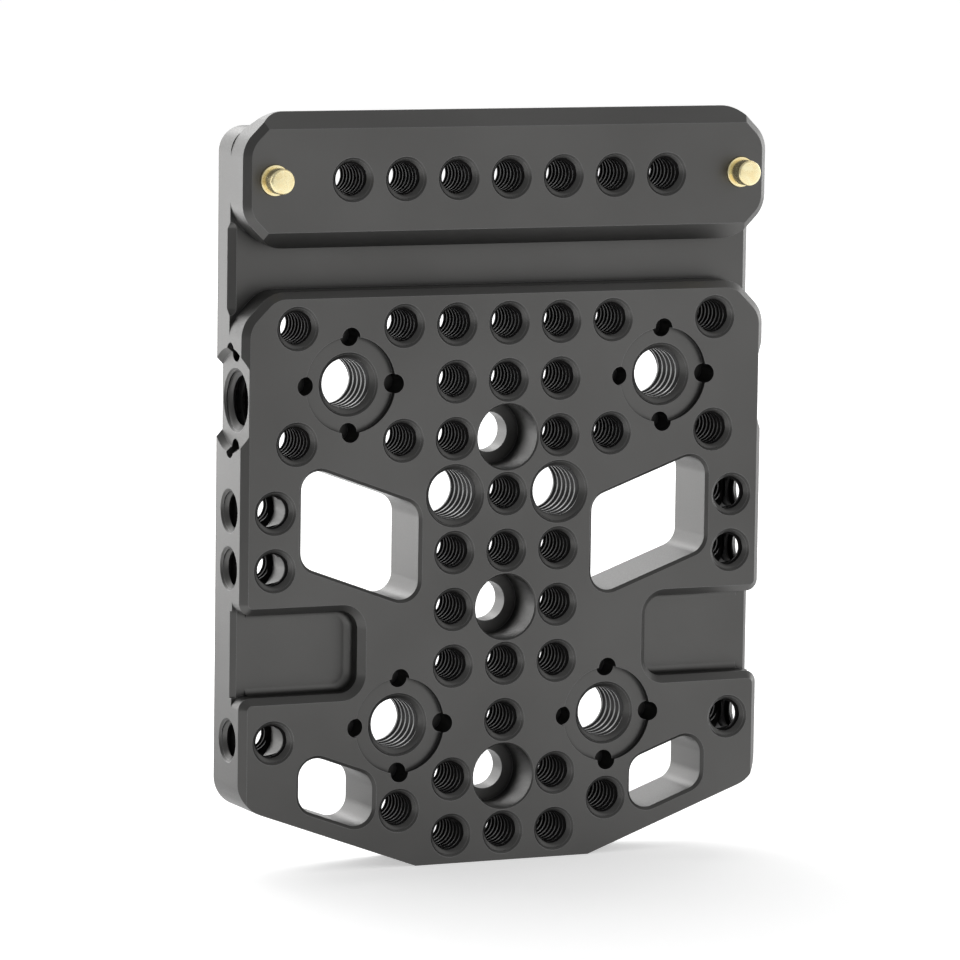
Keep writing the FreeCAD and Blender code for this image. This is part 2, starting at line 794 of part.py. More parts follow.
def place_on_rail(body, side):
    """Puts a piece on the axis of one stop pin, with its own origin at the rail's face."""
    body.setExpression("Placement.Base.x", f"{side} * {STOP_COLUMN}")
    body.setExpression("Placement.Base.y", f"-{HALF_DEPTH}")
    body.setExpression("Placement.Base.z", STOP_HEIGHT)


def make_stop_pin(doc, name, side):
    """A turned brass stop pin, hollow behind for its spring, with a flange that holds it in."""
    body = new_body(doc, name)
    tip = "(Sizes.stop_tip / 2)"
    collar = "(Sizes.stop_collar / 2)"
    flange = "(Sizes.stop_flange / 2)"
    hollow = "(Sizes.stop_hollow / 2)"
    back = "(Sizes.stop_shoulder + Sizes.stop_flange_thickness)"
    turned(
        body,
        f"{name}_turning",
        [
            ("0", "-Sizes.stop_reach", None),
            (f"({tip} - Sizes.stop_bevel)", "-Sizes.stop_reach", None),
            (tip, "(Sizes.stop_bevel - Sizes.stop_reach)", None),
            (tip, "-Sizes.stop_collar_reach", None),
            (collar, "-Sizes.stop_collar_reach", None),
            (collar, "Sizes.stop_shoulder", None),
            (flange, "Sizes.stop_shoulder", None),
            (flange, back, None),
            (hollow, back, None),
            (hollow, "Sizes.stop_hollow_end", None),
            ("0", "Sizes.stop_hollow_end", None),
        ],
    )
    place_on_rail(body, side)
    return body


def make_spring(doc, name, side):
    """A coil spring between the hollow of the stop pin and the cap screw."""
    body = new_body(doc, name)
    outer = "(Sizes.spring_outside / 2)"
    inner = f"({outer} - Sizes.spring_wire)"
    start = "Sizes.stop_hollow_end"
    end = f"({start} + Sizes.spring_wire)"
    sketch = new_sketch(body, f"{name}_wire", "XY_Plane")
    draw_outline(
        sketch,
        [(inner, start, None), (outer, start, None), (outer, end, None), (inner, end, None)],
    )
    coil = body.newObject("PartDesign::AdditiveHelix", f"{name}_coil")
    coil.Profile = sketch
    coil.ReferenceAxis = (sketch, ["V_Axis"])
    coil.Mode = "height-turns-angle"
    coil.setExpression("Height", f"({CAP_FRONT} - {start} - Sizes.spring_wire)")
    coil.setExpression("Turns", "Sizes.spring_turns")
    sketch.Visibility = False
    doc.recompute()
    place_on_rail(body, side)
    return body


def make_cap_screw(doc, name, side):
    """A short threaded cap with a hexagon socket, which closes the bore behind the spring."""
    body = new_body(doc, name)
    radius = "(Sizes.small_thread / 2 - Sizes.cap_clearance)"
    back = "(Sizes.plate_thickness - Sizes.cap_recess)"
    turned(
        body,
        f"{name}_turning",
        [
            ("0", CAP_FRONT, None),
            (f"({radius} - Sizes.cap_bevel)", CAP_FRONT, None),
            (radius, f"({CAP_FRONT} + Sizes.cap_bevel)", None),
            (radius, f"({back} - Sizes.cap_bevel)", None),
            (f"({radius} - Sizes.cap_bevel)", back, None),
            ("0", back, None),
        ],
    )
    socket = new_sketch(body, f"{name}_hexagon", "XZ_Plane", f"(-{back})", reverse=False)
    corner = "(Sizes.cap_socket / (2 * cos(30)))"
    draw_outline(
        socket,
        [
            (f"({corner} * cos({angle}))", f"({corner} * sin({angle}))", None)
            for angle in (30, 90, 150, 210, 270, 330)
        ],
    )
    cut = body.newObject("PartDesign::Pocket", f"{name}_socket")
    cut.Profile = socket
    cut.Type = "Length"
    cut.Reversed = True
    cut.setExpression("Length", "Sizes.cap_socket_depth")
    checked_cut(body, cut)
    place_on_rail(body, side)
    return body


def check_document(doc, bodies):
    """Stops if any object failed or any piece isn't one sound solid."""
    for item in doc.Objects:
        if "Invalid" in item.State or "Error" in item.State:
            raise RuntimeError(f"{item.Name} failed: {item.State}")
    for body in bodies:
        shape = body.Shape
        if shape.isNull() or not shape.isValid() or len(shape.Solids) != 1:
            raise RuntimeError(f"{body.Label} isn't one sound solid")
        print(f"{body.Label}: {shape.Volume:.2f} mm3, {len(shape.Faces)} faces")


def main():
    """Builds every piece and writes its file."""
    os.makedirs("parts", exist_ok=True)
    doc = FreeCAD.newDocument("cheese_plate")
    new_sheet(doc)
    bodies = [make_plate(doc)]
    for word, side in (("left", -1), ("right", 1)):
        bodies.append(make_stop_pin(doc, f"stop_pin_{word}", side))
        bodies.append(make_spring(doc, f"spring_{word}", side))
        bodies.append(make_cap_screw(doc, f"cap_screw_{word}", side))
    doc.recompute()
    check_document(doc, bodies)
    for body in bodies:
        body.Shape.exportStep(f"parts/{body.Label}.step")


main()
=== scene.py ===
"""Looks of the camera cheese plate: its finishes, its threads and the plain studio round it."""

import logging
import math
from dataclasses import dataclass
from enum import Enum

import bmesh
import bpy
from mathutils import Matrix, Vector


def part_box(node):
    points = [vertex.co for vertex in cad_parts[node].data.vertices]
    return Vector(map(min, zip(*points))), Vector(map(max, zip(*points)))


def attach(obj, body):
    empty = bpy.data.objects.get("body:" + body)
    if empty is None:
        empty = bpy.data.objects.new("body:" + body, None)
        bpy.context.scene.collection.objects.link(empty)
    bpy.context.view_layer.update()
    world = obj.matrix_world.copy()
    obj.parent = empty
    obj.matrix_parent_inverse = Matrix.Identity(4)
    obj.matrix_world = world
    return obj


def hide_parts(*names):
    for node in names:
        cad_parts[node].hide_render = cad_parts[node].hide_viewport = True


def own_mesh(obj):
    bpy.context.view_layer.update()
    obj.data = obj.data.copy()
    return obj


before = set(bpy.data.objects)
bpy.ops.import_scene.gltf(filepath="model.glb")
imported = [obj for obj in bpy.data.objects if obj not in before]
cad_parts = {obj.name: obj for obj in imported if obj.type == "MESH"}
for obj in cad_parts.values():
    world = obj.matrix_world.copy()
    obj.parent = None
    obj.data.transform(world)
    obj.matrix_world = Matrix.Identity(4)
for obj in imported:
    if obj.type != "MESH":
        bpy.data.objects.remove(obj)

LOG = logging.getLogger("cheese_plate")
MM = 0.001
PLATE_BODY = "plate_body"
WELD = 0.0005 * MM                  # vertices closer than this are one
THREAD_DEPTH = 0.5413               # depth of an inch thread, in pitches
COLOUR_RANGE = (0.35, 0.65)         # noise values over which a mottle changes colour
ROUGHNESS_RANGE = (0.3, 0.7)        # noise values over which it changes roughness
WHITE = (1.0, 1.0, 1.0, 1.0)

Socket = bpy.types.NodeSocket
Colour = tuple[float, float, float]
Ends = tuple[tuple[float, float], tuple[float, float]]  # value and result at both ends of a ramp


class Slot(Enum):
    """Material slots of the record."""

    ALUMINIUM = "anodised_aluminium"
    BRASS = "brass"
    SPRING = "spring_steel"
    BLACK = "black_steel"


class Side(Enum):
    """The two sides of the plate, as seen from its face."""

    LEFT = -1
    RIGHT = 1

    @property
    def word(self) -> str:
        """The side's name in lower case."""
        return self.name.lower()


class ThreadForm(Enum):
    """Inch threads: major radius and pitch, in metres."""

    QUARTER_20 = (3.175 * MM, 25.4 * MM / 20)
    THREE_EIGHTHS_16 = (4.7625 * MM, 25.4 * MM / 16)

    @property
    def radius(self) -> float:
        """Major radius."""
        return self.value[0]

    @property
    def pitch(self) -> float:
        """Distance from one turn to the next."""
        return self.value[1]


class NodeTree:
    """A small helper that adds shader nodes and links them."""

    def __init__(self, tree: bpy.types.NodeTree) -> None:
        """Takes over an empty node tree.

        Args:
            tree: the material's or world's node tree.
        """
        self.tree = tree
        tree.nodes.clear()

    def add(self, kind: str, **settings: object) -> bpy.types.Node:
        """Adds a node.

        Args:
            kind: the node's type name without its Shader prefix.
            **settings: properties of the node.

        Returns:
            The new node.
        """
        node = self.tree.nodes.new(f"ShaderNode{kind}")
        for key, value in settings.items():
            setattr(node, key, value)
        return node

    def link(self, start: Socket, end: Socket) -> None:
        """Joins an output to an input."""
        self.tree.links.new(start, end)

    def noise(self, vector: Socket, scale: float, detail: float) -> Socket:
        """Adds a noise texture.

        Args:
            vector: the coordinates that it reads.
            scale: features per metre.
            detail: octaves.

        Returns:
            The noise.
        """
        node = self.add("TexNoise")
        node.inputs["Scale"].default_value = scale
        node.inputs["Detail"].default_value = detail
        self.link(vector, node.inputs["Vector"])
        return node.outputs["Fac"]

    def combine(self, operation: str, first: Socket, second: Socket, clamp: bool = False) -> Socket:
        """Works out one value from two.

        Args:
            operation: what is done with them, as a Math node names it.
            first: the first value.
            second: the second value.
            clamp: whether the result stays between 0 and 1.

        Returns:
            The result.
        """
        node = self.add("Math", operation=operation, use_clamp=clamp)
        self.link(first, node.inputs[0])
        self.link(second, node.inputs[1])
        return node.outputs["Value"]

    def ramp(self, value: Socket, low: tuple[float, float], high: tuple[float, float]) -> Socket:
        """Maps one range of a value onto another.

        Args:
            value: the value to map.
            low: the value and the result at the lower end.
            high: the value and the result at the upper end.

        Returns:
            The mapped value.
        """
        node = self.add("MapRange")
        node.inputs["From Min"].default_value = low[0]
        node.inputs["From Max"].default_value = high[0]
        node.inputs["To Min"].default_value = low[1]
        node.inputs["To Max"].default_value = high[1]
        self.link(value, node.inputs["Value"])
        return node.outputs["Result"]

    def mottled_colour(self, noise: Socket, dark: Colour, light: Colour) -> Socket:
        """Blends two colours as a noise goes from low to high.

        Args:
            noise: the noise.
            dark: the colour where it is low.
            light: the colour where it is high.

        Returns:
            The blended colour.
        """
        low, high = COLOUR_RANGE
        node = self.add("Mix", data_type="RGBA")
        node.inputs["A"].default_value = (*dark, 1.0)
        node.inputs["B"].default_value = (*light, 1.0)
        self.link(self.ramp(noise, (low, 0.0), (high, 1.0)), node.inputs["Factor"])
        return node.outputs["Result"]

    def mottled_roughness(self, noise: Socket, smooth: float, rough: float) -> Socket:
        """Blends two roughnesses as a noise goes from low to high.

        Args:
            noise: the noise.
            smooth: the roughness where it is low.
            rough: the roughness where it is high.

        Returns:
            The roughness.
        """
        low, high = ROUGHNESS_RANGE
        return self.ramp(noise, (low, smooth), (high, rough))

    def bump(self, height: Socket, strength: float, depth: float) -> bpy.types.Node:
        """Adds a fine relief.

        Args:
            height: the relief's height.
            strength: how much of it shows.
            depth: its depth in metres.

        Returns:
            The node, whose Normal output holds the relief.
        """
        node = self.add("Bump")
        node.inputs["Strength"].default_value = strength
        node.inputs["Distance"].default_value = depth
        self.link(height, node.inputs["Height"])
        return node


def new_material(name: str) -> tuple[bpy.types.Material, NodeTree, bpy.types.Node]:
    """Starts a material with a Principled shader.

    Args:
        name: the material's name.

    Returns:
        The material, its nodes and the shader.
    """
    material = bpy.data.materials.new(name)
    material.use_nodes = True
    nodes = NodeTree(material.node_tree)
    shader = nodes.add("BsdfPrincipled")
    output = nodes.add("OutputMaterial")
    nodes.link(shader.outputs["BSDF"], output.inputs["Surface"])
    return material, nodes, shader


@dataclass(frozen=True)
class BlastedAluminium:
    """Bead blasted aluminium, anodised dark grey, with a painted highlight that makes its edges paler
    and painted shade that darkens its corners.
    """

    name: str = "blasted_anodised_aluminium"
    dark: Colour = (0.090, 0.089, 0.087)
    light: Colour = (0.105, 0.104, 0.102)
    # colour of the painted highlight along the edges
    edge: Colour = (0.17, 0.17, 0.17)
    smooth: float = 0.36
    rough: float = 0.44
    cloud_per_metre: float = 30.0
    cloud_detail: float = 3.0
    grain_per_metre: float = 4200.0
    grain_detail: float = 2.0
    grain_depth: float = 0.004 * MM
    grain_strength: float = 0.35
    edge_radius: float = 0.12 * MM
    edge_samples: int = 6
    # how much painted edge highlight shows as the rounded normal turns away from the true one
    highlight_by_turn: Ends = ((0.96, 1.0), (0.995, 0.0))
    # Painted shade: the base colour darkens in corners, creases and recesses, within this reach and with
    # these samples.
    painted_shade_reach: float = 0.9 * MM
    painted_shade_samples: int = 8
    shade_by_opening: Ends = ((0.40, 0.30), (0.90, 1.0))

    def build(self) -> bpy.types.Material:
        """Makes the material.

        Returns:
            The new material.
        """
        material, nodes, shader = new_material(self.name)
        place = nodes.add("TexCoord").outputs["Object"]
        cloud = nodes.noise(place, self.cloud_per_metre, self.cloud_detail)
        grain = nodes.noise(place, self.grain_per_metre, self.grain_detail)

        round_edge = nodes.add("Bevel", samples=self.edge_samples)
        round_edge.inputs["Radius"].default_value = self.edge_radius
        turn = nodes.add("VectorMath", operation="DOT_PRODUCT")
        nodes.link(round_edge.outputs["Normal"], turn.inputs[0])
        nodes.link(nodes.add("NewGeometry").outputs["Normal"], turn.inputs[1])
        painted_highlight = nodes.ramp(turn.outputs["Value"], *self.highlight_by_turn)

        # Painted highlight: the edges take the paler edge colour.
        highlighted = nodes.add("Mix", data_type="RGBA")
        highlighted.inputs["B"].default_value = (*self.edge, 1.0)
        nodes.link(painted_highlight, highlighted.inputs["Factor"])
        nodes.link(nodes.mottled_colour(cloud, self.dark, self.light), highlighted.inputs["A"])

        # Painted shade: ambient occlusion darkens the base colour in corners, creases and recesses.
        painted_shade_probe = nodes.add("AmbientOcclusion", samples=self.painted_shade_samples, only_local=True)
        painted_shade_probe.inputs["Distance"].default_value = self.painted_shade_reach
        painted_shade_factor = nodes.ramp(painted_shade_probe.outputs["AO"], *self.shade_by_opening)
        shaded = nodes.add("VectorMath", operation="SCALE")
        nodes.link(highlighted.outputs["Result"], shaded.inputs[0])
        nodes.link(painted_shade_factor, shaded.inputs["Scale"])
        nodes.link(shaded.outputs["Vector"], shader.inputs["Base Color"])
        shader.inputs["Metallic"].default_value = 1.0
        roughness = nodes.mottled_roughness(grain, self.smooth, self.rough)
        nodes.link(roughness, shader.inputs["Roughness"])

        bump = nodes.bump(grain, self.grain_strength, self.grain_depth)
        nodes.link(round_edge.outputs["Normal"], bump.inputs["Normal"])
        nodes.link(bump.outputs["Normal"], shader.inputs["Normal"])
        return material


@dataclass(frozen=True)
class TurnedBrass:
    """Pale brass with the fine rings that turning leaves round each pin."""

    name: str = "turned_brass"
    dark: Colour = (0.92, 0.77, 0.43)
    light: Colour = (0.98, 0.89, 0.56)
    smooth: float = 0.20
    rough: float = 0.32
    metallic: float = 0.85
    mottle_per_metre: float = 900.0
    mottle_detail: float = 3.0
    ring_spacing: float = 0.11 * MM
    ring_depth: float = 0.003 * MM
    ring_strength: float = 0.3
    pin_column: float = 40.1 * MM
    pin_height: float = 108.55 * MM

    def build(self) -> bpy.types.Material:
        """Makes the material.

        Returns:
            The new material.
        """
        material, nodes, shader = new_material(self.name)
        place = nodes.add("TexCoord").outputs["Object"]
        parts = nodes.add("SeparateXYZ")
        nodes.link(place, parts.inputs["Vector"])
        across = nodes.add("Math", operation="ABSOLUTE")
        nodes.link(parts.outputs["X"], across.inputs[0])
        centred = nodes.add("CombineXYZ")
        nodes.link(across.outputs["Value"], centred.inputs["X"])
        nodes.link(parts.outputs["Z"], centred.inputs["Z"])
        shift = nodes.add("VectorMath", operation="SUBTRACT")
        shift.inputs[1].default_value = (self.pin_column, 0.0, self.pin_height)
        nodes.link(centred.outputs["Vector"], shift.inputs[0])
        away = nodes.add("VectorMath", operation="LENGTH")
        nodes.link(shift.outputs["Vector"], away.inputs[0])
        wave = nodes.add("Math", operation="MULTIPLY")
        wave.inputs[1].default_value = 2 * math.pi / self.ring_spacing
        nodes.link(nodes.combine("ADD", away.outputs["Value"], parts.outputs["Y"]), wave.inputs[0])
        rings = nodes.add("Math", operation="SINE")
        nodes.link(wave.outputs["Value"], rings.inputs[0])

        mottle = nodes.noise(place, self.mottle_per_metre, self.mottle_detail)
        nodes.link(nodes.mottled_colour(mottle, self.dark, self.light), shader.inputs["Base Color"])
        roughness = nodes.mottled_roughness(mottle, self.smooth, self.rough)
        nodes.link(roughness, shader.inputs["Roughness"])
        shader.inputs["Metallic"].default_value = self.metallic
        bump = nodes.bump(rings.outputs["Value"], self.ring_strength, self.ring_depth)
        nodes.link(bump.outputs["Normal"], shader.inputs["Normal"])
        return material


@dataclass(frozen=True)
class PlainMetal:
    """A drawn or blackened metal, or the near-black finish that paints the shade inside the tapped
    holes, with a soft mottle.
    """

    name: str
    dark: Colour
    light: Colour
    smooth: float
    rough: float
    metallic: float = 1.0
    specular: float = 0.5
    mottle_per_metre: float = 700.0
    mottle_detail: float = 4.0
    bump_depth: float = 0.003 * MM
    bump_strength: float = 0.25

    def build(self) -> bpy.types.Material:
        """Makes the material.

        Returns:
            The new material.
        """
        material, nodes, shader = new_material(self.name)
        place = nodes.add("TexCoord").outputs["Object"]
        mottle = nodes.noise(place, self.mottle_per_metre, self.mottle_detail)
        nodes.link(nodes.mottled_colour(mottle, self.dark, self.light), shader.inputs["Base Color"])
        roughness = nodes.mottled_roughness(mottle, self.smooth, self.rough)
        nodes.link(roughness, shader.inputs["Roughness"])
        shader.inputs["Metallic"].default_value = self.metallic
        shader.inputs["Specular IOR Level"].default_value = self.specular
        bump = nodes.bump(mottle, self.bump_strength, self.bump_depth)
        nodes.link(bump.outputs["Normal"], shader.inputs["Normal"])
        return material


def finish_piece(
    bm: bmesh.types.BMesh, name: str, material: bpy.types.Material, body: str
) -> bpy.types.Object:
    """Turns a finished bmesh into a piece that rides on a body.

    Args:
        bm: the finished mesh, which is freed.
        name: the piece's name.
        material: its finish.
        body: the body that it moves with.

    Returns:
        The new object.
    """
    mesh = bpy.data.meshes.new(name)
    bm.to_mesh(mesh)
    bm.free()
    mesh.materials.append(material)
    piece = bpy.data.objects.new(name, mesh)
    bpy.context.scene.collection.objects.link(piece)
    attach(piece, body)
    LOG.info("%s: %d faces on %s", name, len(mesh.polygons), body)
    return piece


def shade_by_angle(bm: bmesh.types.BMesh, limit_degrees: float) -> None:
    """Shades faces smoothly and keeps the edges that turn by more than a limit sharp.

    Args:
        bm: the mesh to shade.
        limit_degrees: the largest turn that still looks smooth.
    """
    limit = math.radians(limit_degrees)
    for face in bm.faces:
        face.smooth = True
    for edge in bm.edges:
        edge.smooth = edge.is_manifold and edge.calc_face_angle(0.0) < limit


@dataclass(frozen=True)
class Thread:
    """An internal thread that lines a tapped hole. Its own Z runs down the hole."""

    form: ThreadForm
    mouth_radius: float
    bottom: float
    # near-black finish of the thread: painted shade inside the hole
    thread_shade_finish: bpy.types.Material
    mouth_finish: bpy.types.Material
    steps: int = 40
    lead_turns: int = 2
    flank_degrees: float = 30.0
    weld: float = 0.002 * MM
    wall_gap: float = 0.015 * MM
    wall: float = 0.08 * MM
    mouth_cuts: int = 6
    smooth_degrees: float = 20.0

    @property
    def root(self) -> float:
        """Radius of the thread's root, just inside the drilled wall."""
        return self.form.radius - self.wall_gap

    @property
    def crest(self) -> float:
        """Radius of the thread's crest."""
        return self.form.radius - THREAD_DEPTH * self.form.pitch

    @property
    def top(self) -> float:
        """Depth at which the bevelled mouth meets the bore."""
        return self.mouth_radius - self.form.radius

    def profile(self) -> list[tuple[float, float]]:
        """The thread's section over one pitch.

        Returns:
            Points as (radius, depth).
        """
        pitch = self.form.pitch
        root_width = pitch / 8
        flank = (self.root - self.crest) * math.tan(math.radians(self.flank_degrees))
        return [
            (self.root, 0.0),
            (self.root, root_width),
            (self.crest, root_width + flank),
            (self.crest, pitch - flank),
            (self.root, pitch),
        ]

    def build(self) -> bpy.types.Mesh:
        """Winds the section down the hole, trims it, opens its mouth and closes it behind.

        Returns:
            A closed mesh whose Z runs from the face into the metal.
        """
        bm = bmesh.new()
        pitch = self.form.pitch
        lead = self.lead_turns * pitch
        verts = [bm.verts.new((radius, 0.0, depth - lead)) for radius, depth in self.profile()]
        edges = [bm.edges.new(pair) for pair in zip(verts, verts[1:])]
        turns = math.ceil(self.bottom / pitch) + self.lead_turns + 1
        bmesh.ops.spin(
            bm,
            geom=verts + edges,
            cent=(0, 0, 0),
            axis=(0, 0, 1),
            dvec=(0, 0, pitch / self.steps),
            angle=2 * math.pi * turns,
            steps=self.steps * turns,
            use_merge=False,
            use_duplicate=False,
        )
        bmesh.ops.remove_doubles(bm, verts=bm.verts[:], dist=self.weld)
        self.trim(bm)
        self.cut_mouth(bm)
        self.close_behind(bm)
        self.dress_mouth(bm)
        mesh = bpy.data.meshes.new("thread")
        shade_by_angle(bm, self.smooth_degrees)
        bm.to_mesh(mesh)
        bm.free()
        for material in (self.thread_shade_finish, self.mouth_finish):
            mesh.materials.append(material)
        return mesh

    def trim(self, bm: bmesh.types.BMesh) -> None:
        """Cuts the thread off at the mouth and at the bottom, and adds rings near the mouth.

        Args:
            bm: the thread as wound.
        """
        height = self.root - self.crest
        for place, outward in ((self.top, -1), (self.bottom, 1)):
            bmesh.ops.bisect_plane(
                bm,
                geom=bm.verts[:] + bm.edges[:] + bm.faces[:],
                dist=WELD,
                plane_co=(0, 0, place),
                plane_no=(0, 0, outward),
                clear_outer=True,
            )
        for step in range(1, self.mouth_cuts + 1):
            bmesh.ops.bisect_plane(
                bm,
                geom=bm.verts[:] + bm.edges[:] + bm.faces[:],
                dist=WELD,
                plane_co=(0, 0, self.top + height * step / self.mouth_cuts),
                plane_no=(0, 0, 1),
            )

    def cut_mouth(self, bm: bmesh.types.BMesh) -> None:
        """Cuts the crests back to a 45 degree cone behind the bevelled mouth.

        Args:
            bm: the trimmed thread.
        """
        for vert in bm.verts:
            self.widen(vert, self.root + self.top - vert.co.z)

    def dress_mouth(self, bm: bmesh.types.BMesh) -> None:
        """Gives the cone at the mouth the plate's own finish, which is the second.

        Args:
            bm: the finished thread.
        """
        cone_end = self.top + self.root - self.crest
        for face in bm.faces:
            if face.calc_center_median().z < cone_end:
                face.material_index = 1

    @staticmethod
    def widen(vert: bmesh.types.BMVert, least: float) -> None:
        """Moves a vertex outwards where it lies closer to the axis than a radius.

        Args:
            vert: the vertex.
            least: the radius.
        """
        radius = math.hypot(vert.co.x, vert.co.y)
        if radius < least:
            vert.co.x *= least / radius
            vert.co.y *= least / radius

    def close_behind(self, bm: bmesh.types.BMesh) -> None:
        """Gives the thread an outer wall, so that it is a closed ring of metal.

        Args:
            bm: the thread with its mouth cut.
        """
        rims = [edge for edge in bm.edges if edge.is_boundary]
        grown = bmesh.ops.extrude_edge_only(bm, edges=rims)["geom"]
        for item in grown:
            if isinstance(item, bmesh.types.BMVert):
                self.widen(item, self.root + self.wall)
        bmesh.ops.bridge_loops(bm, edges=[edge for edge in bm.edges if edge.is_boundary])
        bmesh.ops.recalc_face_normals(bm, faces=bm.faces[:])


def bore_through(
    mesh: bpy.types.Mesh, radius: float, start: Vector, end: Vector, sides: int = 48
) -> bpy.types.Mesh:
    """Cuts a round bore through a closed mesh.

    Args:
        mesh: the mesh to cut.
        radius: the bore's radius.
        start: one end of its axis.
        end: the other end.
        sides: how many flat sides its wall has.

    Returns:
        The mesh with the bore cut out.
    """
    bm = bmesh.new()
    turn = (end - start).to_track_quat("Z", "Y").to_matrix().to_4x4()
    bmesh.ops.create_cone(
        bm,
        cap_ends=True,
        segments=sides,
        radius1=radius,
        radius2=radius,
        depth=(end - start).length,
        matrix=Matrix.Translation((start + end) / 2) @ turn,
    )
    tool_mesh = bpy.data.meshes.new("bore")
    bm.to_mesh(tool_mesh)
    bm.free()
    tool = bpy.data.objects.new("bore", tool_mesh)
    stock = bpy.data.objects.new("stock", mesh)
    for item in (tool, stock):
        bpy.context.scene.collection.objects.link(item)
    cut = stock.modifiers.new("bore", "BOOLEAN")
    cut.operation = "DIFFERENCE"
    cut.solver = "EXACT"
    cut.object = tool
    bpy.context.view_layer.update()
    ready = stock.evaluated_get(bpy.context.evaluated_depsgraph_get())
    result = bpy.data.meshes.new_from_object(ready)
    for item in (tool, stock):
        bpy.data.objects.remove(item)
    bpy.data.meshes.remove(tool_mesh)
    return result


@dataclass(frozen=True)
class HoleLayout:
    """Where the plate's tapped holes lie. Rows count up from the foot and columns from the middle."""

    pitch: float = 9.0 * MM
    lowest_row: float = 4.5 * MM
    half_width: float = 45.0 * MM
    half_depth: float = 5.5 * MM
    rail_height: float = 108.4 * MM
    edge_column: float = 39.5 * MM
    edge_drop: float = 1.6 * MM
    disc_depth: float = 1.0 * MM
    side_mount_height: float = 74.15 * MM

    UPPER = {
        9: (-4, -2, -1, 0, 1, 2, 4),
        8: (-1, 0, 1),
        7: (-4, -2, -1, 1, 2, 4),
        6: (0,),
        5: (-1, 0, 1),
    }
    LOWER = {4: (-1, 1), 3: (-1, 0, 1), 2: (0,), 1: (-1, 1), 0.5: (-2, 2), 0: (-1, 0, 1)}
    RAIL = (-3, -2, -1, 0, 1, 2, 3)
    EDGE_ROWS = (6, 5, 2)
    PLAIN_LARGE = ((-1, 6), (1, 6))
    LOCATING = ((-3, 8), (3, 8), (-2, 2), (2, 2))

    def row(self, steps: float) -> float:
        """Height of a row."""
        return self.lowest_row + self.pitch * steps

    def grid(self, rows: dict[float, tuple[int, ...]]) -> list[tuple[float, float]]:
        """Places of a part of the grid.

        Args:
            rows: columns for each row.

        Returns:
            Places as (across, up).
        """
        return [
            (self.pitch * step, self.row(line)) for line, steps in rows.items() for step in steps
        ]


